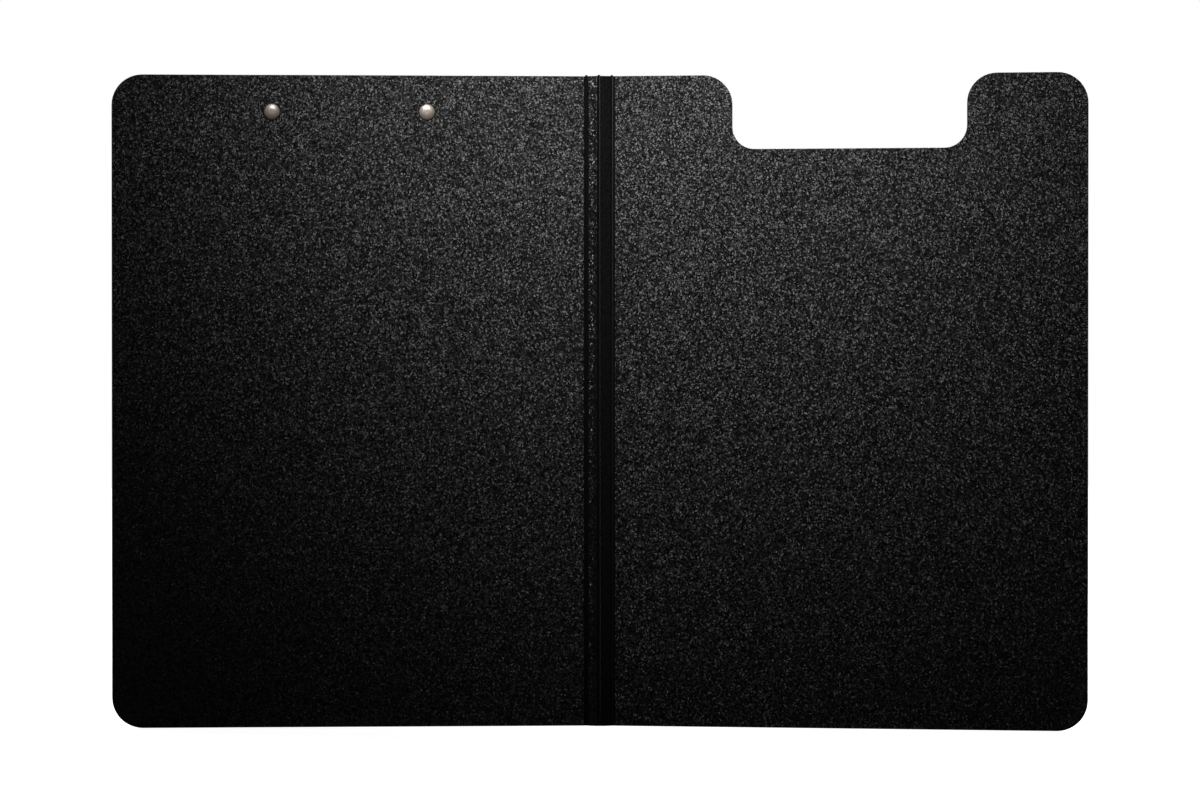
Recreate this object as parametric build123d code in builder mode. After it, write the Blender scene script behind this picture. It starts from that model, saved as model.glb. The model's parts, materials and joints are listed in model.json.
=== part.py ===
from build123d import *
from math import ceil, cos, pi, radians, sin
import os

# Clipboard folder, A4: a grained polypropylene sheet with three pressed creases and a riveted lever clip.
# It stands open on its lower edges, its outer faces towards -Y and the clip on the inner side, towards +Y.
# X runs along the back board, Z is up. Millimetres and degrees.

os.makedirs("parts", exist_ok=True)

# The sheet: two boards for A4 paper and the two halves of the spine between them
board_height = 320.0
board_width = 233.0  # outer edge to the axis of the crease
sheet = 1.6
corner_radius = 15.0
edge_round = 0.3  # the cut edges of the sheet are slightly rounded
spine_half = 6.7  # crease to crease

# The creases: a rib along the axis in a pressed channel
crease_half = 1.0  # the axis to the full thickness of a panel
crease_web = 0.45  # thickness of the pressed web
crease_rib_radius = 0.32
crease_proud = 0.5  # the press squeezes the ribs out past the top edge by this much
crease_gap = 0.05  # running gap between the rib and the web of the panel that folds on it
channel_round = 0.5

# How far each crease is folded as the folder stands open, towards closing
rear_fold = -25.9
middle_fold = 40.0
front_fold = -25.9

# The cut-out in the top edge of the cover, where the clip comes through
cutout_width = 114.9
cutout_depth = 36.3
cutout_centre = 116.8  # from the front crease
cutout_mouth_radius = 14.5
cutout_root_radius = 11.0

# Rivets, from the top edge of the back board and either side of the clip's middle
clip_centre = 116.8  # from the rear crease
rivet_drop = 18.0
rivet_half_spacing = 38.0
rivet_head_radius = 4.2
rivet_head_height = 1.5
rivet_head_edge = 0.25
rivet_crown_flat = 0.6
rivet_crown_radius = 3.65  # the head is domed from the flat to this radius, and steeper outside it
rivet_crown_fall = 0.75
rivet_shank_radius = 2.0
rivet_bore_radius = 1.2
rivet_roll_radius = 3.2
rivet_roll_height = 0.9
dimple_radius = 8.5  # the board is drawn in round each rivet
dimple_depth = 0.22

# Clip, pressed from steel strip. A drop is measured down from the board's top edge, a rise off its face
steel = 1.0
jaw_half_width = 50.0
jaw_ear_gap = 0.5  # between the ears of the jaw and of the base
base_top_drop = 7.0
base_foot_drop = 27.5
base_corner = 3.0
bend_outside = 0.6  # radii of the bends between the plates and their ears
bend_inside = 0.5
pin_drop = 15.0
pin_rise = 6.5
pin_radius = 1.5
pin_head_radius = 2.3
pin_head_height = 0.8
pin_head_round = 0.6
ear_radius = 4.0
ear_foot_half = 5.0
pin_hole_clearance = 0.06
side_gap = 0.05  # between the pin's heads and the ears of the jaw

# The jaw plate's middle line as drop and rise, from the lever's lip over the pin to the toe
lever_lip = (-0.3, 17.9)
lever_bend = (-1.3, 15.7)
arch_rear = (17.0, 12.2)
arch_front = (27.0, 8.2)
toe_bend = (31.2, 1.7)
toe_foot = (33.0, 1.5)
toe_tip = (33.9, 2.1)
jaw_bends = (1.2, 14.0, 7.0, 1.6, 2.0)
jaw_edge_round = 0.4
jaw_top_drop = -1.25
jaw_foot_drop = 34.0
lever_corner = 9.0
toe_corner = 2.5
ear_top_reach = 9.5  # the jaw's ears begin this far from the lever's bend
ear_front_reach = 2.6
rib_length = 58.0  # stiffening rib pressed into the lever
rib_width = 5.0
rib_height = 0.5
rib_reach = 8.0

# Rubber grips on the corners of the toe
grip_length = 12.0
grip_wall = 1.0
grip_round = 0.6
grip_overhang = 0.7  # past the side of the jaw
grip_climb = 3.2  # from the toe's bend up towards the arch
grip_nose = 0.6  # past the toe's tip

# Torsion springs round the pin
wire_radius = 0.7
coil_radius = 3.4
coil_pitch = 1.95
coil_turns = 5
coil_start = 12.0  # from the clip's middle
spring_lower_slope = 11.5
spring_upper_slope = 20.0
spring_lower_leg = 7.2
spring_upper_leg = 8.5

near = 0.1  # tolerance where edges and corners are chosen by their place
drill = 10.0  # length of the cutters for the rivet holes


def along(angle):
    """Unit direction in plan at an angle from +X towards +Y."""
    return Vector(cos(radians(angle)), sin(radians(angle)), 0)


def sheet_plane(axis, angle):
    """Mid-plane of a panel: local x runs away from its crease, local y is up, the normal points outwards."""
    return Plane(origin=axis, x_dir=along(angle), z_dir=along(angle - 90))


def plan_plane(axis, angle):
    """Horizontal plane on a crease at the lower edge, local x along the panel."""
    return Plane(origin=axis, x_dir=along(angle), z_dir=(0, 0, 1))


# Directions of the panels in plan, and the crease axes, worked out from the rear crease
rear_half_angle = rear_fold
front_half_angle = rear_fold + middle_fold
cover_angle = rear_fold + middle_fold + front_fold
spine_rear_run = along(rear_half_angle) * spine_half
spine_front_run = along(front_half_angle) * spine_half
cover_run = along(cover_angle) * board_width
far_corner = spine_rear_run + spine_front_run + cover_run

# The origin is under the middle of the whole object's box
lever_reach = sheet / 2 + lever_lip[1] + steel / 2
cover_reach = far_corner.Y - sheet / 2 * cos(radians(cover_angle))
right_reach = far_corner.X - sheet / 2 * sin(radians(cover_angle))
rear_axis = Vector((board_width - right_reach) / 2, -(lever_reach + cover_reach) / 2, 0)
middle_axis = rear_axis + spine_rear_run
front_axis = middle_axis + spine_front_run

inner_face = rear_axis.Y + sheet / 2
outer_face = rear_axis.Y - sheet / 2
clip_x = rear_axis.X - clip_centre
clip_origin = Vector(clip_x, inner_face, board_height)

# Clip planes: side has local x as the drop and y as the rise, plan has local x across and y as the drop
clip_side = Plane(origin=clip_origin, x_dir=(0, 0, -1), z_dir=(1, 0, 0))
clip_plan = Plane(origin=clip_origin, x_dir=(1, 0, 0), z_dir=(0, 1, 0))


def folding_web(axis, angle):
    """Sketch of the pressed web of a panel that folds on a crease, its end hollow round the rib."""
    with BuildSketch(plan_plane(axis, angle)) as strip:
        Rectangle(crease_half + channel_round, crease_web, align=(Align.MIN, Align.CENTER))
        Circle(crease_rib_radius + crease_gap, mode=Mode.SUBTRACT)
    return strip.sketch


def channel_edges(part, axis):
    """Upright edges of a panel where the channel of a crease begins."""
    reach = (crease_half**2 + (sheet / 2) ** 2) ** 0.5 + near
    return [
        edge
        for edge in part.edges().filter_by(Axis.Z)
        if (Vector(edge.center().X, edge.center().Y, 0) - axis).length < reach
    ]


# Back board: drawn in round the rivets, with their two holes
with BuildPart() as back_board:
    with BuildSketch(sheet_plane(rear_axis, 0)) as outline:
        with Locations((-board_width, 0)):
            Rectangle(board_width - crease_half, board_height, align=(Align.MIN, Align.MIN))
        fillet(outline.vertices().group_by(Axis.X)[0], corner_radius)
    extrude(amount=sheet / 2, both=True)
    fillet(channel_edges(back_board, rear_axis), channel_round)
    outer_rim = back_board.faces().sort_by(Axis.Y)[0].outer_wire().edges()
    inner_rim = back_board.faces().sort_by(Axis.Y)[-1].outer_wire().edges()
    cut_edges = [edge for edge in outer_rim + inner_rim if edge.center().X < rear_axis.X - 2 * crease_half]
    fillet(cut_edges, edge_round)
    dimple_sphere = (dimple_radius**2 + dimple_depth**2) / (2 * dimple_depth)
    for side in (-1, 1):
        rivet_point = (clip_x + side * rivet_half_spacing, outer_face, board_height - rivet_drop)
        with Locations(Location(rivet_point, (90, 0, 0))):
            with Locations((0, 0, dimple_sphere - dimple_depth)):
                Sphere(dimple_sphere, mode=Mode.SUBTRACT)
            Cylinder(rivet_shank_radius, drill, mode=Mode.SUBTRACT)
back_board.part.label = "back_board"
export_step(back_board.part, "parts/back_board.step")

# Spine: two narrow panels that meet in a ridge. Each has a web that folds on the crease behind it
for name, axis, angle in (
    ("spine_rear_half", rear_axis, rear_half_angle),
    ("spine_front_half", middle_axis, front_half_angle),
):
    with BuildPart() as spine_panel:
        with BuildSketch(sheet_plane(axis, angle)):
            with Locations((crease_half, 0)):
                Rectangle(spine_half - 2 * crease_half, board_height, align=(Align.MIN, Align.MIN))
        extrude(amount=sheet / 2, both=True)
        fillet(spine_panel.edges().filter_by(Axis.Z), channel_round)
        extrude(folding_web(axis, angle), amount=board_height)
    spine_panel.part.label = name
    export_step(spine_panel.part, f"parts/{name}.step")

# Cover: the same board with a cut-out for the clip in its top edge
cutout_span = (cutout_centre - cutout_width / 2 - near, cutout_centre + cutout_width / 2 + near)
with BuildPart() as front_cover:
    with BuildSketch(sheet_plane(front_axis, cover_angle)) as outline:
        with Locations((crease_half, 0)):
            Rectangle(board_width - crease_half, board_height, align=(Align.MIN, Align.MIN))
        fillet(outline.vertices().group_by(Axis.X)[-1], corner_radius)
        with Locations((cutout_centre, board_height)):
            Rectangle(cutout_width, 2 * cutout_depth, mode=Mode.SUBTRACT)
        for depth, radius in ((cutout_depth, cutout_root_radius), (0, cutout_mouth_radius)):
            corners = outline.vertices().filter_by_position(Axis.X, *cutout_span)
            level = board_height - depth
            fillet(corners.filter_by_position(Axis.Y, level - near, level + near), radius)
    extrude(amount=sheet / 2, both=True)
    fillet(channel_edges(front_cover, front_axis), channel_round)
    faces_by_area = front_cover.faces().sort_by(SortBy.AREA)
    cover_rims = faces_by_area[-1].outer_wire().edges() + faces_by_area[-2].outer_wire().edges()
    cut_edges = [edge for edge in cover_rims if edge.center().X > front_axis.X + 2 * crease_half]
    fillet(cut_edges, edge_round)
    extrude(folding_web(front_axis, cover_angle), amount=board_height)
front_cover.part.label = "front_cover"
export_step(front_cover.part, "parts/front_cover.step")

# Living hinges: a rib on each axis, and the web that ties it to the panel it bends from
for name, axis, angle in (
    ("rear_crease", rear_axis, 0),
    ("middle_crease", middle_axis, rear_half_angle),
    ("front_crease", front_axis, front_half_angle),
):
    with BuildPart() as crease:
        with BuildSketch(plan_plane(axis, angle)):
            Circle(crease_rib_radius)
            Rectangle(crease_half, crease_web, align=(Align.MAX, Align.CENTER))
        extrude(amount=board_height + crease_proud)
    crease.part.label = name
    export_step(crease.part, f"parts/{name}.step")

# Rivets: a low head on the outer face, a tubular shank rolled over on the clip's base
head_seat = outer_face + dimple_depth * (1 - (rivet_head_radius / dimple_radius) ** 2)
crown = head_seat - rivet_head_height
roll_seat = inner_face + steel
roll_top = roll_seat + rivet_roll_height
roll_centre_radius = rivet_roll_radius - rivet_roll_height / 2
for name, side in (("rivet_left", -1), ("rivet_right", 1)):
    rivet_origin = Vector(clip_x + side * rivet_half_spacing, 0, board_height - rivet_drop)
    with BuildPart() as rivet:
        with BuildSketch(Plane(origin=rivet_origin, x_dir=(1, 0, 0), z_dir=(0, 0, 1))):
            with BuildLine():
                flat = Line((0, crown), (rivet_crown_flat, crown))
                dome = TangentArc(flat @ 1, (rivet_crown_radius, crown + rivet_crown_fall), tangent=flat % 1)
                shoulder = (rivet_head_radius, head_seat - rivet_head_edge)
                TangentArc(dome @ 1, shoulder, tangent=dome % 1)
                Polyline(
                    shoulder,
                    (rivet_head_radius, head_seat),
                    (rivet_shank_radius, head_seat),
                    (rivet_shank_radius, roll_seat),
                    (roll_centre_radius, roll_seat),
                )
                ThreePointArc(
                    (roll_centre_radius, roll_seat),
                    (rivet_roll_radius, (roll_seat + roll_top) / 2),
                    (roll_centre_radius, roll_top),
                )
                Polyline(
                    (roll_centre_radius, roll_top),
                    (rivet_bore_radius, roll_seat + rivet_roll_height / 3),
                    (rivet_bore_radius, inner_face),
                    (0, inner_face),
                    (0, crown),
                )
            make_face()
        revolve(axis=Axis(rivet_origin, (0, 1, 0)))
    rivet.part.label = name
    export_step(rivet.part, f"parts/{name}.step")

# Base plate: flat under the springs, with an ear bent up at each end
base_half_width = jaw_half_width - steel - jaw_ear_gap
with BuildPart() as clip_base_plate:
    with BuildSketch(clip_plan):
        with Locations((0, (base_top_drop + base_foot_drop) / 2)):
            RectangleRounded(2 * base_half_width, base_foot_drop - base_top_drop, base_corner)
    extrude(amount=steel)
    for side in (-1, 1):
        with BuildSketch(clip_side.offset(side * (base_half_width - steel / 2))):
            with Locations((pin_drop, pin_rise)):
                Circle(ear_radius)
            with Locations((pin_drop, 0)):
                Rectangle(2 * ear_foot_half, steel, align=(Align.CENTER, Align.MIN))
            make_hull()
        extrude(amount=steel / 2, both=True)
    for half_width, rise, radius in (
        (base_half_width, 0, bend_outside),
        (base_half_width - steel, steel, bend_inside),
    ):
        bends = clip_base_plate.edges().filter_by(Axis.Z)
        bends = bends.filter_by_position(Axis.Y, inner_face + rise - near, inner_face + rise + near)
        fillet([edge for edge in bends if abs(abs(edge.center().X - clip_x) - half_width) < near], radius)
    with Locations(Location(clip_side.from_local_coords((pin_drop, pin_rise, 0)), (0, 90, 0))):
        Cylinder(pin_radius, 3 * base_half_width, mode=Mode.SUBTRACT)
    for side in (-1, 1):
        rivet_point = (clip_x + side * rivet_half_spacing, inner_face, board_height - rivet_drop)
        with Locations(Location(rivet_point, (90, 0, 0))):
            Cylinder(rivet_shank_radius, drill, mode=Mode.SUBTRACT)
clip_base_plate.part.label = "clip_base_plate"
export_step(clip_base_plate.part, "parts/clip_base_plate.step")

# Pin: through all four ears, its ends peened to heads
pin_head_start = jaw_half_width + side_gap
with BuildPart() as clip_pin:
    with BuildSketch(clip_side.offset(-pin_head_start)):
        with Locations((pin_drop, pin_rise)):
            Circle(pin_radius)
    extrude(amount=2 * pin_head_start)
    for side in (-1, 1):
        with BuildSketch(clip_side.offset(side * pin_head_start)):
            with Locations((pin_drop, pin_rise)):
                Circle(pin_head_radius)
        extrude(amount=side * pin_head_height)
    head_rims = clip_pin.edges().filter_by(GeomType.CIRCLE).group_by(Axis.X)
    fillet(head_rims[0] + head_rims[-1], pin_head_round)
clip_pin.part.label = "clip_pin"
export_step(clip_pin.part, "parts/clip_pin.step")


# Jaw plate: one arched plate, the lever above the pin and the jaw below it, an ear folded down at each side
lever_run = (Vector(*arch_rear) - Vector(*lever_bend)).normalized()
lever_normal = Vector(-lever_run.Y, lever_run.X)
jaw_run = (Vector(*toe_bend) - Vector(*arch_front)).normalized()
ear_top = Vector(*lever_bend) + lever_run * ear_top_reach
ear_front = Vector(*arch_front) + jaw_run * ear_front_reach
rib_middle = Vector(*lever_bend) + lever_run * rib_reach
with BuildPart() as clip_jaw_plate:
    with BuildSketch(clip_side.offset(-jaw_half_width)):
        with BuildLine():
            FilletPolyline(
                lever_lip, lever_bend, arch_rear, arch_front, toe_bend, toe_foot, toe_tip, radius=jaw_bends
            )
        trace(line_width=steel)
    extrude(amount=2 * jaw_half_width)
    for side in (-1, 1):
        with BuildSketch(clip_side.offset(side * (jaw_half_width - steel / 2))):
            with BuildLine():
                FilletPolyline(ear_top, arch_rear, arch_front, ear_front, radius=jaw_bends[1:3])
            with Locations((pin_drop, pin_rise)):
                Circle(ear_radius)
            make_hull()
        extrude(amount=steel / 2, both=True)
    # Each side's outer edge runs on smoothly from the lever's bend, over the ear's fold, to the toe
    folds = clip_jaw_plate.edges().filter_by(GeomType.CIRCLE).group_by(Axis.Y)[-1].group_by(Axis.X)
    fillet(folds[0] + folds[-1], jaw_edge_round)
    with BuildSketch(clip_plan) as outline:
        with Locations((0, jaw_top_drop)):
            Rectangle(2 * jaw_half_width, jaw_foot_drop - jaw_top_drop, align=(Align.CENTER, Align.MIN))
        fillet(outline.vertices().group_by(Axis.Y)[0], lever_corner)
        fillet(outline.vertices().group_by(Axis.Y)[-1], toe_corner)
    extrude(amount=lever_lip[1] + 2 * steel, mode=Mode.INTERSECT)
    rib_plane = Plane(
        origin=clip_side.from_local_coords((rib_middle.X, rib_middle.Y, 0)),
        x_dir=(1, 0, 0),
        z_dir=clip_side.from_local_coords(lever_normal) - clip_origin,
    )
    with BuildSketch(rib_plane):
        SlotOverall(rib_length, rib_width)
    extrude(amount=steel / 2 + rib_height)
    with BuildSketch(rib_plane.offset(-steel)):
        SlotOverall(rib_length - 2 * rib_height, rib_width - 2 * rib_height)
    extrude(amount=steel / 2 + rib_height, mode=Mode.SUBTRACT)
    with Locations(Location(clip_side.from_local_coords((pin_drop, pin_rise, 0)), (0, 90, 0))):
        Cylinder(pin_radius + pin_hole_clearance, 3 * jaw_half_width, mode=Mode.SUBTRACT)
clip_jaw_plate.part.label = "clip_jaw_plate"
export_step(clip_jaw_plate.part, "parts/clip_jaw_plate.step")

# Grips: rubber sleeves round the corners of the toe, which the jaw stands on
grip_start = Vector(*toe_bend) - jaw_run * grip_climb
grip_end = Vector(*toe_tip) + (Vector(*toe_tip) - Vector(*toe_foot)).normalized() * grip_nose
for name, side in (("jaw_grip_left", -1), ("jaw_grip_right", 1)):
    with BuildPart() as grip:
        with BuildSketch(clip_side.offset(side * (jaw_half_width + grip_overhang))):
            with BuildLine():
                FilletPolyline(grip_start, toe_bend, toe_foot, grip_end, radius=jaw_bends[3:])
            trace(line_width=steel + 2 * grip_wall)
        extrude(amount=-side * grip_length)
        fillet(grip.edges().filter_by(Axis.X), grip_round)
        add(clip_jaw_plate.part, mode=Mode.SUBTRACT)
    grip.part.label = name
    export_step(grip.part, f"parts/{name}.step")


def coil_point(turn, side):
    """Point and direction of a spring's wire after some degrees of winding, from its lower leg."""
    angle = radians(-90 - spring_lower_slope - turn)
    across = side * (coil_start + coil_pitch * turn / 360)
    point = clip_side.from_local_coords(
        (pin_drop - coil_radius * cos(angle), pin_rise + coil_radius * sin(angle), across)
    )
    climb = side * coil_pitch / radians(360)
    ahead = clip_side.from_local_coords((-coil_radius * sin(angle), -coil_radius * cos(angle), climb))
    return point, (ahead - clip_origin).normalized()


def biarc(start, start_way, end, end_way):
    """Two arcs, tangent where they meet, from one point and direction to another point and direction."""
    chord = end - start
    bend = 2 * (1 - start_way.dot(end_way))
    lead = 2 * chord.dot(start_way + end_way)
    reach = (((lead**2 + 4 * bend * chord.dot(chord)) ** 0.5) - lead) / (2 * bend)
    meeting = (start + end) / 2 + (start_way - end_way) * (reach / 2)
    meeting_way = (end - end_way * reach) - (start + start_way * reach)
    TangentArc(start, meeting, tangent=start_way)
    TangentArc(meeting, end, tangent=meeting_way)


def least_gap(path, skip, steps=400):
    """Least free gap between parts of a spring's wire that are more than a distance apart along it."""
    points = [path @ (step / steps) for step in range(steps + 1)]
    apart = ceil(skip / path.length * steps)
    nearest = min(
        (points[later] - points[earlier]).length
        for earlier in range(steps + 1)
        for later in range(earlier + apart, steps + 1)
    )
    return nearest - 2 * wire_radius


# Torsion springs: one leg on the base, one under the lever, wound outwards from the clip's middle
whole_turn = 360 * coil_turns + 180 - spring_lower_slope - spring_upper_slope
quarters = ceil(whole_turn / 90)
for name, side in (("spring_left", -1), ("spring_right", 1)):
    stations = [coil_point(whole_turn * step / quarters, side) for step in range(quarters + 1)]
    with BuildPart() as spring:
        with BuildLine() as wire:
            first_point, first_way = stations[0]
            last_point, last_way = stations[-1]
            Line(first_point - first_way * spring_lower_leg, first_point)
            for (start, start_way), (end, end_way) in zip(stations, stations[1:]):
                biarc(start, start_way, end, end_way)
            Line(last_point, last_point + last_way * spring_upper_leg)
        path = wire.wire()
        with BuildSketch(Plane(origin=first_point - first_way * spring_lower_leg, z_dir=first_way)):
            Circle(wire_radius)
        sweep(path=path)
    spring.part.label = name
    export_step(spring.part, f"parts/{name}.step")
    tube_volume = pi * wire_radius**2 * path.length
    print(f"{name}: least gap between turns {least_gap(path, 4 * coil_radius):.2f} mm")
    print(f"{name}: volume {spring.part.volume:.2f}, section times length {tube_volume:.2f}")
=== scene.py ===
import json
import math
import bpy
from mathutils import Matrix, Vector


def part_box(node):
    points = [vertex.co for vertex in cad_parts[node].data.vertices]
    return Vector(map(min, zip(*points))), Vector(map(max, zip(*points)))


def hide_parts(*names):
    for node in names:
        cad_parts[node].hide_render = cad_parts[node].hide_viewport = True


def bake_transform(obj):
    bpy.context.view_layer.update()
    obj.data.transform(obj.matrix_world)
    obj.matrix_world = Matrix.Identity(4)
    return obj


bl_info = {
    "name": "Clipboard folder",
    "version": (1, 0, 0),
    "blender": (4, 5, 0),
    "location": "3D View > Sidebar > Folder",
    "description": "Finishes a clipboard folder: embossed boards, a pressed spine and a riveted lever clip",
    "category": "Object",
}

import bmesh
import bpy
from mathutils import Matrix, Vector

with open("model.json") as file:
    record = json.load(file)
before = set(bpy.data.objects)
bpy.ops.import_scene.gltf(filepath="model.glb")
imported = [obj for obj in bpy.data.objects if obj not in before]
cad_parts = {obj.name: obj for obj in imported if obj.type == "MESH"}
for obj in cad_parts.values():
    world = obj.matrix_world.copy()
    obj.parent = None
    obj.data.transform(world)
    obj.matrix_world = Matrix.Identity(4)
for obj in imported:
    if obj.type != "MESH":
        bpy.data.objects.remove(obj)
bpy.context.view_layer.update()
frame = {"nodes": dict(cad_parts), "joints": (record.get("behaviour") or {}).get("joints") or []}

mm = 0.001  # in metres
joints = {joint["name"]: joint for joint in frame["joints"]}
pin_middle = Vector(joints["clip_pivot"]["pos_m"])
rear_axis = Vector(joints["rear_hinge"]["pos_m"])
middle_axis = Vector(joints["middle_hinge"]["pos_m"])
front_axis = Vector(joints["front_hinge"]["pos_m"])


def linear(hex_colour):
    """Linear red, green, blue and alpha of an sRGB hex colour."""
    parts = [int(hex_colour[place : place + 2], 16) / 255 for place in (1, 3, 5)]
    return [part / 12.92 if part <= 0.04045 else ((part + 0.055) / 1.055) ** 2.4 for part in parts] + [1.0]


def length_property(name, description, default):
    """A size in metres that a user would change."""
    return bpy.props.FloatProperty(
        name=name,
        description=description,
        default=default,
        subtype="DISTANCE",
        unit="LENGTH",
        precision=5,
    )


def colour_property(name, description, default):
    """A colour that a user would change, with its default as sRGB hex."""
    return bpy.props.FloatVectorProperty(
        name=name, description=description, default=linear(default), subtype="COLOR", size=4, min=0, max=1
    )


class FolderSheetLook(bpy.types.PropertyGroup):
    """Finish of the embossed polypropylene sheet"""

    # The pit and crest colours are partly the grain's own tone, partly painted shade in the pits and
    # painted glints on the crests
    pit_tone_and_shade: colour_property("Pits", "Colour in the pits of the sand grain", "#040404")
    crest_tone_and_glint: colour_property("Crests", "Colour on the crests of the sand grain", "#141414")
    grain: length_property("Grain size", "From one facet of the grain to the next", 0.6 * mm)
    slope: bpy.props.FloatProperty(
        name="Grain slope",
        description="Spread of the slopes of the grain's facets",
        default=1.0,
        min=0,
        max=2,
        subtype="FACTOR",
    )
    roughness: bpy.props.FloatProperty(
        name="Roughness",
        description="Roughness of the facets of the grain",
        default=0.46,
        min=0,
        max=1,
        subtype="FACTOR",
    )
    pressed_roughness: bpy.props.FloatProperty(
        name="Pressed roughness",
        description="Roughness of the sheet where it's pressed",
        default=0.17,
        min=0,
        max=1,
        subtype="FACTOR",
    )
    board_strip: length_property(
        "Strip on the board", "From the rear crease to the board's grain", 1.75 * mm
    )
    cover_strip: length_property(
        "Strip on the cover", "From the front crease to the cover's grain", 1.25 * mm
    )
    channel: colour_property("Channels", "Colour of the smooth pressed channels", "#070707")


class FolderMetalLook(bpy.types.PropertyGroup):
    """Finish of the clip, its pin, springs and rivets"""

    nickel: colour_property("Nickel", "Colour of the plated plates and the pin", "#C4C3C0")
    rivet: colour_property("Rivets", "Colour of the rivet heads", "#A4978C")
    # Painted shade: this colour darkens the rim round the foot of each rivet head, standing in for the dark
    # sides the head reflects
    painted_rim_shade: colour_property("Painted_rim_shade", "Colour round the foot of the rivet heads", "#2E2520")
    wire: colour_property("Spring wire", "Colour of the drawn wire", "#8E8D8C")


class FolderSpringSizes(bpy.types.PropertyGroup):
    """Sizes of the two torsion springs round the pin"""

    wire_radius: length_property("Wire radius", "Half of the wire's thickness", 0.7 * mm)
    coil_radius: length_property("Coil radius", "From the pin's axis to the middle of the wire", 3.4 * mm)
    pitch: length_property("Pitch", "From one turn to the next", 1.95 * mm)
    start: length_property("Start", "From the clip's middle to the lower leg", 12.0 * mm)
    lower_leg: length_property("Lower leg", "Length of the leg on the base plate", 7.2 * mm)
    upper_leg: length_property("Upper leg", "Length of the leg under the lever", 8.5 * mm)
    lower_slope: bpy.props.FloatProperty(
        name="Lower slope",
        description="Slope of the lower leg off the base",
        default=math.radians(11.5),
        subtype="ANGLE",
    )
    upper_slope: bpy.props.FloatProperty(
        name="Upper slope",
        description="Slope of the upper leg off the base",
        default=math.radians(20),
        subtype="ANGLE",
    )
    turns: bpy.props.IntProperty(
        name="Turns", description="Whole turns of each spring", default=5, min=1, max=20
    )


class FolderStageLook(bpy.types.PropertyGroup):
    """Camera, lamps and floor"""

    camera_azimuth: bpy.props.FloatProperty(
        name="Camera azimuth",
        description="Turn of the camera round the object",
        default=math.radians(-3.6),
        subtype="ANGLE",
    )
    camera_elevation: bpy.props.FloatProperty(
        name="Camera elevation",
        description="Height of the camera as an angle",
        default=math.radians(0.53),
        subtype="ANGLE",
    )
    camera_distance: length_property("Camera distance", "From the camera to the spine", 2.129)
    lens: bpy.props.FloatProperty(
        name="Lens",
        description="Focal length in millimetres, on a 36 mm sensor",
        default=129.65,
        unit="CAMERA",
    )
    lamp_power: bpy.props.FloatProperty(
        name="Lamp", description="Power of the front softbox", default=0.48, unit="POWER"
    )
    back_lamp_power: bpy.props.FloatProperty(
        name="Back lamp", description="Power of the softbox behind", default=12.0, unit="POWER"
    )
    room: bpy.props.FloatProperty(
        name="Dim room",
        description="Strength of the room's light in front of the object",
        default=0.06,
        min=0,
        max=1,
        subtype="FACTOR",
    )
    sweep: bpy.props.FloatProperty(
        name="White sweep",
        description="Strength of the light from the white sweep behind",
        default=0.5,
        min=0,
        max=1,
        subtype="FACTOR",
    )
    floor_colour: colour_property("Floor", "Colour of the floor", "#F2F2F2")
    floor_away: colour_property("Dim floor", "Colour of the floor as the object sees it", "#3C3C3C")
    floor_size: length_property("Floor size", "Side of the square floor", 8.0)


def add_node(tree, kind, settings=None, inputs=None):
    """Adds a node with its own settings, and its inputs by name, each a value or a socket to link."""
    made = tree.nodes.new(kind)
    for name, value in (settings or {}).items():
        setattr(made, name, value)
    for name, value in (inputs or {}).items():
        if isinstance(value, bpy.types.NodeSocket):
            tree.links.new(value, made.inputs[name])
        else:
            made.inputs[name].default_value = value
    return made


def new_material(name):
    """An empty node material, its tree and the surface socket of its output."""
    material = bpy.data.materials.new(name)
    material.use_nodes = True
    material.node_tree.nodes.clear()
    output = add_node(material.node_tree, "ShaderNodeOutputMaterial")
    return material, material.node_tree, output.inputs["Surface"]


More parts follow.
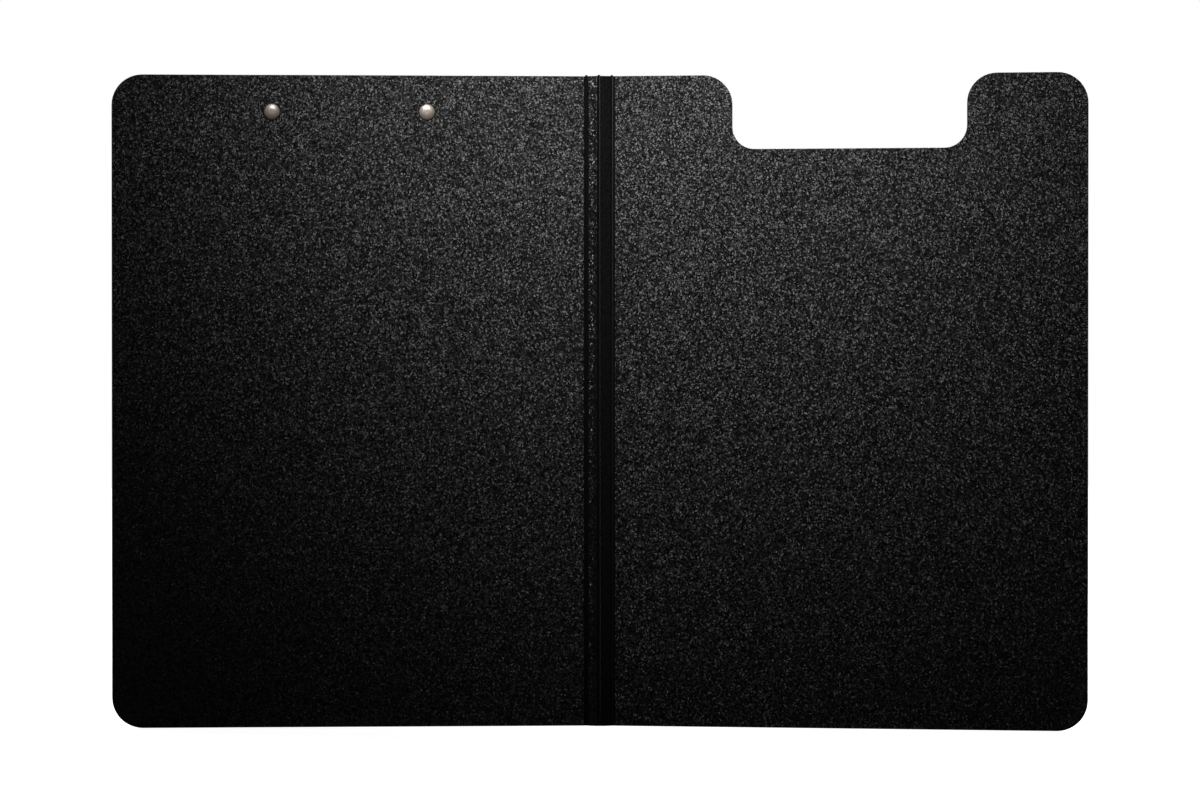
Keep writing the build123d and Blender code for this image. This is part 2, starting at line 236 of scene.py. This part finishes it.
def grained_polypropylene(look):
    """Calendered polypropylene sheet, embossed by a sandblasted roller: near black, satin, with glints.

    The press that folds it has flattened the grain beside the creases and on the front half of the spine.
    """
    material, tree, surface = new_material("grained_polypropylene")
    place = add_node(tree, "ShaderNodeTexCoord").outputs["Object"]
    across = add_node(tree, "ShaderNodeSeparateXYZ", None, {"Vector": place}).outputs["X"]
    start, end = rear_axis.x - look.board_strip, front_axis.x + look.cover_strip
    across_spine = add_node(
        tree, "ShaderNodeMapRange", None, {"Value": across, "From Min": start, "From Max": end}
    ).outputs["Result"]
    grain_left = add_node(tree, "ShaderNodeValToRGB", None, {"Fac": across_spine})
    marks = grain_left.color_ramp.elements
    # All of the grain is left at both ends, and between them the share that the press has spared
    marks[0].color = marks[1].color
    for x, share in (
        (start + 0.1 * mm, 0.0),
        (rear_axis.x + 0.6 * mm, 0.0),
        (rear_axis.x + 0.8 * mm, 0.85),
        (rear_axis.x + 2.8 * mm, 0.6),
        (middle_axis.x - 1.2 * mm, 0.35),
        (middle_axis.x, 0.06),
        (end - 0.1 * mm, 0.0),
    ):
        marks.new((x - start) / (end - start)).color = (share, share, share, 1)
    share = grain_left.outputs["Color"]
    slope = add_node(
        tree, "ShaderNodeMapRange", None, {"Value": share, "To Max": look.slope}
    ).outputs["Result"]
    roughness = add_node(
        tree,
        "ShaderNodeMapRange",
        None,
        {"Value": share, "To Min": look.pressed_roughness, "To Max": look.roughness},
    ).outputs["Result"]
    # The roller's blasted craters are about 0.2 mm. They are drawn three times as wide, or they don't show
    facets = add_node(
        tree, "ShaderNodeTexVoronoi", None, {"Vector": place, "Scale": 1 / look.grain}
    ).outputs["Color"]
    tone_and_glint = add_node(tree, "ShaderNodeSeparateColor", None, {"Color": facets}).outputs["Red"]
    # Each facet takes a colour at random between the pit and crest colours: partly the grain's own tone,
    # partly painted shade and painted glints
    colour = add_node(
        tree, "ShaderNodeMix", {"data_type": "RGBA"}, {"Factor": tone_and_glint, "A": look.pit_tone_and_shade, "B": look.crest_tone_and_glint}
    )
    way = add_node(tree, "ShaderNodeVectorMath", {"operation": "SUBTRACT"}, {0: facets, 1: (0.5, 0.5, 0.5)})
    tilt = add_node(
        tree, "ShaderNodeVectorMath", {"operation": "SCALE"}, {0: way.outputs["Vector"], "Scale": slope}
    )
    flat = add_node(tree, "ShaderNodeNewGeometry").outputs["Normal"]
    tilted = add_node(
        tree, "ShaderNodeVectorMath", {"operation": "ADD"}, {0: flat, 1: tilt.outputs["Vector"]}
    )
    normal = add_node(
        tree, "ShaderNodeVectorMath", {"operation": "NORMALIZE"}, {0: tilted.outputs["Vector"]}
    )
    shader = add_node(
        tree,
        "ShaderNodeBsdfPrincipled",
        None,
        {
            "Base Color": colour.outputs["Result"],
            "Roughness": roughness,
            "IOR": 1.49,
            "Normal": normal.outputs["Vector"],
        },
    )
    tree.links.new(shader.outputs["BSDF"], surface)
    return material


def pressed_channel(look, name, axis, rib_roughness):
    """The same sheet where a hot rule has pressed it: smooth, glossy and dark, a rib along the fold."""
    material, tree, surface = new_material(name)
    flow_mark, rib_reach = 2.5 * mm, 0.3 * mm
    place = add_node(tree, "ShaderNodeTexCoord").outputs["Object"]
    flow = add_node(
        tree, "ShaderNodeTexNoise", None, {"Vector": place, "Scale": 1 / flow_mark, "Detail": 3.0}
    )
    gloss = add_node(
        tree, "ShaderNodeMapRange", None, {"Value": flow.outputs["Fac"], "To Min": 0.12, "To Max": 0.2}
    ).outputs["Result"]
    across = add_node(tree, "ShaderNodeSeparateXYZ", None, {"Vector": place}).outputs["X"]
    rib = add_node(
        tree, "ShaderNodeMath", {"operation": "COMPARE"}, {0: across, 1: axis.x, 2: rib_reach}
    ).outputs[0]
    roughness = add_node(
        tree, "ShaderNodeMapRange", None, {"Value": rib, "To Min": gloss, "To Max": rib_roughness}
    ).outputs["Result"]
    relief = add_node(
        tree,
        "ShaderNodeBump",
        None,
        {"Strength": 0.4, "Distance": 0.02 * mm, "Height": flow.outputs["Fac"]},
    )
    shader = add_node(
        tree,
        "ShaderNodeBsdfPrincipled",
        None,
        {
            "Base Color": look.channel,
            "Roughness": roughness,
            "IOR": 1.49,
            "Normal": relief.outputs["Normal"],
        },
    )
    tree.links.new(shader.outputs["BSDF"], surface)
    return material


def plated_steel(name, colour, roughness, spread, cloud, lacquer):
    """Nickel-plated pressed steel: its gloss clouded by the plating bath, under clear lacquer or bare.

    The lacquer's IOR is above the usual 1.5, matched to the small bright highlights on the object's rivets.
    """
    material, tree, surface = new_material(name)
    place = add_node(tree, "ShaderNodeTexCoord").outputs["Object"]
    clouds = add_node(
        tree, "ShaderNodeTexNoise", None, {"Vector": place, "Scale": 1 / cloud, "Detail": 4.0}
    )
    # The noise stays within about 0.3 and 0.7
    gloss = add_node(
        tree,
        "ShaderNodeMapRange",
        None,
        {
            "Value": clouds.outputs["Fac"],
            "From Min": 0.3,
            "From Max": 0.7,
            "To Min": roughness - spread,
            "To Max": roughness + spread,
        },
    )
    relief = add_node(
        tree,
        "ShaderNodeBump",
        None,
        {"Strength": 0.3, "Distance": 0.01 * mm, "Height": clouds.outputs["Fac"]},
    )
    shader = add_node(
        tree,
        "ShaderNodeBsdfPrincipled",
        None,
        {
            "Base Color": colour,
            "Metallic": 1.0,
            "Roughness": gloss.outputs["Result"],
            "Coat Weight": lacquer,
            "Coat Roughness": 0.28,
            "Coat IOR": 2.0,
            "Normal": relief.outputs["Normal"],
        },
    )
    tree.links.new(shader.outputs["BSDF"], surface)
    return material


def plated_rivet(look, node):
    """The same plating on a lacquered rivet: warm and dull, with a painted shade that darkens the rim round
    its foot.
    """
    material = plated_steel(
        f"nickel_plated_{node}", look.rivet, roughness=0.66, spread=0.05, cloud=0.8 * mm, lacquer=1.0
    )
    tree = material.node_tree
    low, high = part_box(node)
    radius = (high.x - low.x) / 2
    place = add_node(tree, "ShaderNodeTexCoord").outputs["Object"]
    off = add_node(tree, "ShaderNodeVectorMath", {"operation": "SUBTRACT"}, {0: place, 1: (low + high) / 2})
    flat = add_node(
        tree, "ShaderNodeVectorMath", {"operation": "MULTIPLY"}, {0: off.outputs["Vector"], 1: (1, 0, 1)}
    )
    away = add_node(tree, "ShaderNodeVectorMath", {"operation": "LENGTH"}, {0: flat.outputs["Vector"]})
    # Painted shade: each head turns to the rim colour from 0.8 of its radius outwards, standing in for its
    # dark reflected sides
    foot = add_node(
        tree,
        "ShaderNodeMapRange",
        {"interpolation_type": "SMOOTHSTEP"},
        {"Value": away.outputs["Value"], "From Min": 0.8 * radius, "From Max": radius},
    )
    colour = add_node(
        tree,
        "ShaderNodeMix",
        {"data_type": "RGBA"},
        {"Factor": foot.outputs["Result"], "A": look.rivet, "B": look.painted_rim_shade},
    )
    tree.links.new(colour.outputs["Result"], tree.nodes["Principled BSDF"].inputs["Base Color"])
    return material


def drawn_wire(look):
    """Spring steel wire, drawn through a die: grey, with fine lines along its length."""
    material, tree, surface = new_material("drawn_spring_wire")
    # The die's lines are about 0.1 mm apart, so there are 24 of them on half of the wire's round
    die_lines = 24.0
    turn = add_node(tree, "ShaderNodeAttribute", {"attribute_name": "round_wire"}).outputs["Fac"]
    lines = add_node(
        tree,
        "ShaderNodeTexNoise",
        {"noise_dimensions": "1D"},
        {"W": turn, "Scale": die_lines, "Detail": 2.0},
    )
    gloss = add_node(
        tree, "ShaderNodeMapRange", None, {"Value": lines.outputs["Fac"], "To Min": 0.22, "To Max": 0.5}
    )
    shader = add_node(
        tree,
        "ShaderNodeBsdfPrincipled",
        None,
        {"Base Color": look.wire, "Metallic": 1.0, "Roughness": gloss.outputs["Result"]},
    )
    tree.links.new(shader.outputs["BSDF"], surface)
    return material


def moulded_rubber():
    """Moulded black rubber: dull, with a faint bloom in patches."""
    material, tree, surface = new_material("moulded_rubber")
    patch = 1.2 * mm
    place = add_node(tree, "ShaderNodeTexCoord").outputs["Object"]
    bloom = add_node(
        tree, "ShaderNodeTexNoise", None, {"Vector": place, "Scale": 1 / patch, "Detail": 4.0}
    )
    colour = add_node(
        tree,
        "ShaderNodeMix",
        {"data_type": "RGBA"},
        {"Factor": bloom.outputs["Fac"], "A": linear("#0F0F10"), "B": linear("#1F1F20")},
    )
    relief = add_node(
        tree,
        "ShaderNodeBump",
        None,
        {"Strength": 0.5, "Distance": 0.02 * mm, "Height": bloom.outputs["Fac"]},
    )
    shader = add_node(
        tree,
        "ShaderNodeBsdfPrincipled",
        None,
        {"Base Color": colour.outputs["Result"], "Roughness": 0.7, "Normal": relief.outputs["Normal"]},
    )
    tree.links.new(shader.outputs["BSDF"], surface)
    return material


def dress(material, *nodes):
    """Gives nodes of the frame a material."""
    for name in nodes:
        mesh = frame["nodes"][name].data
        mesh.materials.clear()
        mesh.materials.append(material)


def finished_mesh(name, work):
    """An object at the origin from finished work, shaded smooth."""
    mesh = bpy.data.meshes.new(name)
    work.to_mesh(mesh)
    work.free()
    mesh.shade_smooth()
    piece = bpy.data.objects.new(name, mesh)
    bpy.context.scene.collection.objects.link(piece)
    return piece


class FolderBoards(bpy.types.Operator):
    """Finish the back board, the cover and the two halves of the spine"""

    bl_idname = "folder.boards"
    bl_label = "Boards"

    def execute(self, context):
        sheet = grained_polypropylene(context.scene.folder_sheet)
        dress(sheet, "back_board", "front_cover", "spine_rear_half", "spine_front_half")
        return {"FINISHED"}


class FolderCreases(bpy.types.Operator):
    """Finish the three pressed creases"""

    bl_idname = "folder.creases"
    bl_label = "Creases"

    def execute(self, context):
        look = context.scene.folder_sheet
        for name, axis, rib_roughness in (
            ("rear_crease", rear_axis, look.pressed_roughness),
            ("middle_crease", middle_axis, look.roughness),
            ("front_crease", front_axis, look.roughness),
        ):
            dress(pressed_channel(look, f"pressed_{name}", axis, rib_roughness), name)
        return {"FINISHED"}


class FolderRivets(bpy.types.Operator):
    """Finish the two rivets"""

    bl_idname = "folder.rivets"
    bl_label = "Rivets"

    def execute(self, context):
        for name in ("rivet_left", "rivet_right"):
            dress(plated_rivet(context.scene.folder_metal, name), name)
        return {"FINISHED"}


class FolderClipPlates(bpy.types.Operator):
    """Finish the clip's base plate, jaw plate and pin"""

    bl_idname = "folder.clip_plates"
    bl_label = "Clip plates and pin"

    def execute(self, context):
        look = context.scene.folder_metal
        nickel = plated_steel(
            "nickel_plated_strip", look.nickel, roughness=0.2, spread=0.05, cloud=6 * mm, lacquer=0.0
        )
        dress(nickel, "clip_base_plate", "clip_jaw_plate", "clip_pin")
        return {"FINISHED"}


class FolderGrips(bpy.types.Operator):
    """Finish the rubber grips on the jaw's corners"""

    bl_idname = "folder.grips"
    bl_label = "Grips"

    def execute(self, context):
        dress(moulded_rubber(), "jaw_grip_left", "jaw_grip_right")
        return {"FINISHED"}


class FolderSprings(bpy.types.Operator):
    """Wind the two torsion springs round the pin"""

    bl_idname = "folder.springs"
    bl_label = "Springs"

    def execute(self, context):
        sizes = context.scene.folder_spring
        wire = drawn_wire(context.scene.folder_metal)
        whole_turn = 2 * math.pi * sizes.turns + math.pi - sizes.lower_slope - sizes.upper_slope
        longest_step = math.radians(10)
        steps = math.ceil(whole_turn / longest_step)
        sides = 16
        for name, side in (("spring_left", -1), ("spring_right", 1)):
            phase = -math.pi / 2 - sizes.lower_slope
            start = pin_middle + Vector(
                (
                    side * sizes.start,
                    sizes.coil_radius * math.sin(phase),
                    sizes.coil_radius * math.cos(phase),
                )
            )
            climb = side * sizes.pitch / (2 * math.pi)
            way = Vector(
                (climb, -sizes.coil_radius * math.cos(phase), sizes.coil_radius * math.sin(phase))
            ).normalized()
            # A ring of the wire's section is wound round the pin, and its ends are drawn out to legs
            work = bmesh.new()
            round_wire = work.verts.layers.float.new("round_wire")
            place = Matrix.Translation(start) @ way.to_track_quat("Z", "Y").to_matrix().to_4x4()
            circle = bmesh.ops.create_circle(
                work, segments=sides, radius=sizes.wire_radius, matrix=place
            )["verts"]
            for number, vertex in enumerate(circle):
                vertex[round_wire] = abs(2 * number / sides - 1)
            first = work.edges[:]
            spun = bmesh.ops.spin(
                work,
                geom=first,
                cent=pin_middle,
                axis=(1, 0, 0),
                dvec=(climb * whole_turn / steps, 0, 0),
                angle=whole_turn,
                steps=steps,
            )
            last = [item for item in spun["geom_last"] if isinstance(item, bmesh.types.BMEdge)]
            turned = Matrix.Rotation(whole_turn, 3, "X") @ way
            for ring, shift in ((first, way * -sizes.lower_leg), (last, turned * sizes.upper_leg)):
                drawn = bmesh.ops.extrude_edge_only(work, edges=ring)["geom"]
                bmesh.ops.translate(
                    work, verts=[item for item in drawn if isinstance(item, bmesh.types.BMVert)], vec=shift
                )
                rim = [item for item in drawn if isinstance(item, bmesh.types.BMEdge) and item.is_boundary]
                bmesh.ops.edgeloop_fill(work, edges=rim)
            bmesh.ops.recalc_face_normals(work, faces=work.faces)
            spring = finished_mesh(f"{name}_wire", work)
            spring.data.materials.append(wire)
            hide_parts(name)
            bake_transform(spring)
        return {"FINISHED"}


class FolderStage(bpy.types.Operator):
    """Set up the floor, the lamps, the white surroundings and the camera"""

    bl_idname = "folder.stage"
    bl_label = "Stage"

    def execute(self, context):
        look = context.scene.folder_stage
        self.floor(look)
        self.lamps(look)
        self.surroundings(context, look)
        self.camera(context, look)
        context.scene.view_settings.view_transform = "Standard"
        return {"FINISHED"}

    def floor(self, look):
        """Floor, white for the camera but for the object's shadow, and dim where it lights the object."""
        work = bmesh.new()
        bmesh.ops.create_grid(work, x_segments=1, y_segments=1, size=look.floor_size / 2)
        floor = finished_mesh("floor", work)
        material, tree, surface = new_material("painted_floor")
        path = add_node(tree, "ShaderNodeLightPath")
        camera = path.outputs["Is Camera Ray"]
        place = add_node(tree, "ShaderNodeTexCoord").outputs["Object"]
        colour = add_node(
            tree,
            "ShaderNodeMix",
            {"data_type": "RGBA"},
            {"Factor": camera, "A": look.floor_away, "B": look.floor_colour},
        )
        paint = add_node(tree, "ShaderNodeBsdfDiffuse", None, {"Color": colour.outputs["Result"]})
        # The white is held back a little round the object, so that its shadow isn't lost in it
        held_back, near, far = 0.93, 0.3, 0.8
        away = add_node(tree, "ShaderNodeVectorMath", {"operation": "LENGTH"}, {0: place}).outputs["Value"]
        plain = add_node(
            tree,
            "ShaderNodeMapRange",
            {"interpolation_type": "SMOOTHSTEP"},
            {"Value": away, "From Min": near, "From Max": far, "To Min": held_back, "To Max": 1.0},
        ).outputs["Result"]
        white = add_node(
            tree, "ShaderNodeMath", {"operation": "MULTIPLY"}, {0: camera, 1: plain}
        ).outputs[0]
        mirrored = add_node(
            tree,
            "ShaderNodeMath",
            {"operation": "MULTIPLY"},
            {0: self.mirrored(tree, path), 1: self.behind(tree, place)},
        ).outputs[0]
        strength = add_node(
            tree, "ShaderNodeMath", {"operation": "MAXIMUM"}, {0: white, 1: mirrored}
        ).outputs[0]
        glow = add_node(tree, "ShaderNodeEmission", None, {"Strength": strength})
        both = add_node(tree, "ShaderNodeAddShader")
        tree.links.new(paint.outputs["BSDF"], both.inputs[0])
        tree.links.new(glow.outputs["Emission"], both.inputs[1])
        tree.links.new(both.outputs["Shader"], surface)
        floor.data.materials.append(material)

    def mirrored(self, tree, path):
        """1 for what metal and glass show, 0 for other light."""
        both = {0: path.outputs["Is Glossy Ray"], 1: path.outputs["Is Transmission Ray"]}
        return add_node(tree, "ShaderNodeMath", {"operation": "MAXIMUM"}, both).outputs[0]

    def behind(self, tree, place):
        """0 in front of the object and 1 behind it, for a point on the floor or a direction."""
        all_white = 0.3
        depth = add_node(tree, "ShaderNodeSeparateXYZ", None, {"Vector": place}).outputs["Y"]
        return add_node(
            tree,
            "ShaderNodeMapRange",
            {"interpolation_type": "SMOOTHSTEP"},
            {"Value": depth, "From Min": 0.0, "From Max": all_white},
        ).outputs["Result"]

    def lamps(self, look):
        """A small softbox over the front's top edge, and a large one that lights the inside."""
        for name, power, spread, size, seat, aim in (
            ("front_softbox", look.lamp_power, 68, (0.3, 0.13), (-0.045, -0.3, 0.51), (0.03, 0.014, 0.33)),
            ("back_softbox", look.back_lamp_power, 180, (0.6, 0.4), (0.3, 1.0, 0.7), (0.0, 0.02, 0.2)),
        ):
            lamp = bpy.data.lights.new(name, "AREA")
            lamp.shape = "RECTANGLE"
            lamp.size, lamp.size_y = size
            lamp.energy = power
            lamp.spread = math.radians(spread)
            place = bpy.data.objects.new(name, lamp)
            place.location = seat
            place.rotation_euler = (Vector(aim) - place.location).to_track_quat("-Z", "Y").to_euler()
            bpy.context.scene.collection.objects.link(place)

    def surroundings(self, context, look):
        """White for the camera and behind the object, a dim room in front of it."""
        white = linear("#FFFFFF")
        world = bpy.data.worlds.new("white_surroundings")
        world.use_nodes = True
        tree = world.node_tree
        tree.nodes.clear()
        path = add_node(tree, "ShaderNodeLightPath")
        way = add_node(tree, "ShaderNodeTexCoord").outputs["Generated"]
        sweep = add_node(
            tree,
            "ShaderNodeMapRange",
            None,
            {"Value": self.mirrored(tree, path), "To Min": look.sweep, "To Max": 1.0},
        ).outputs["Result"]
        light = add_node(
            tree,
            "ShaderNodeMapRange",
            None,
            {"Value": self.behind(tree, way), "To Min": look.room, "To Max": sweep},
        ).outputs["Result"]
        strength = add_node(
            tree, "ShaderNodeMath", {"operation": "MAXIMUM"}, {0: path.outputs["Is Camera Ray"], 1: light}
        ).outputs[0]
        shine = add_node(tree, "ShaderNodeBackground", None, {"Color": white, "Strength": strength})
        output = add_node(tree, "ShaderNodeOutputWorld")
        tree.links.new(shine.outputs["Background"], output.inputs["Surface"])
        context.scene.world = world

    def camera(self, context, look):
        """Camera at the photographed angle, aimed at the middle of the folder."""
        camera = bpy.data.cameras.new("camera")
        camera.sensor_width = 36
        camera.lens = look.lens
        place = bpy.data.objects.new("camera", camera)
        around = look.camera_azimuth
        away = Vector((math.sin(around), -math.cos(around), math.tan(look.camera_elevation))).normalized()
        aim = Vector((2.44 * mm, 14 * mm, 160.56 * mm))
        place.location = aim + away * look.camera_distance
        place.rotation_euler = (-away).to_track_quat("-Z", "Y").to_euler()
        context.scene.collection.objects.link(place)
        context.scene.camera = place


class FolderPanel(bpy.types.Panel):
    """The folder's steps and settings"""

    bl_idname = "VIEW3D_PT_folder"
    bl_label = "Clipboard folder"
    bl_space_type = "VIEW_3D"
    bl_region_type = "UI"
    bl_category = "Folder"

    def draw(self, context):
        for operator in operators:
            self.layout.operator(operator.bl_idname)
        for group in settings:
            for name in settings[group].__annotations__:
                self.layout.prop(getattr(context.scene, group), name)


settings = {
    "folder_sheet": FolderSheetLook,
    "folder_metal": FolderMetalLook,
    "folder_spring": FolderSpringSizes,
    "folder_stage": FolderStageLook,
}
operators = (
    FolderBoards,
    FolderCreases,
    FolderRivets,
    FolderClipPlates,
    FolderGrips,
    FolderSprings,
    FolderStage,
)


def register():
    for group, kind in settings.items():
        bpy.utils.register_class(kind)
        setattr(bpy.types.Scene, group, bpy.props.PointerProperty(type=kind))
    for kind in (*operators, FolderPanel):
        bpy.utils.register_class(kind)


def unregister():
    for kind in (FolderPanel, *reversed(operators)):
        bpy.utils.unregister_class(kind)
    for group, kind in settings.items():
        delattr(bpy.types.Scene, group)
        bpy.utils.unregister_class(kind)


def main():
    register()
    bpy.ops.folder.boards()
    bpy.ops.folder.creases()
    bpy.ops.folder.rivets()
    bpy.ops.folder.clip_plates()
    bpy.ops.folder.grips()
    bpy.ops.folder.springs()
    bpy.ops.folder.stage()


if __name__ == "__main__":
    main()
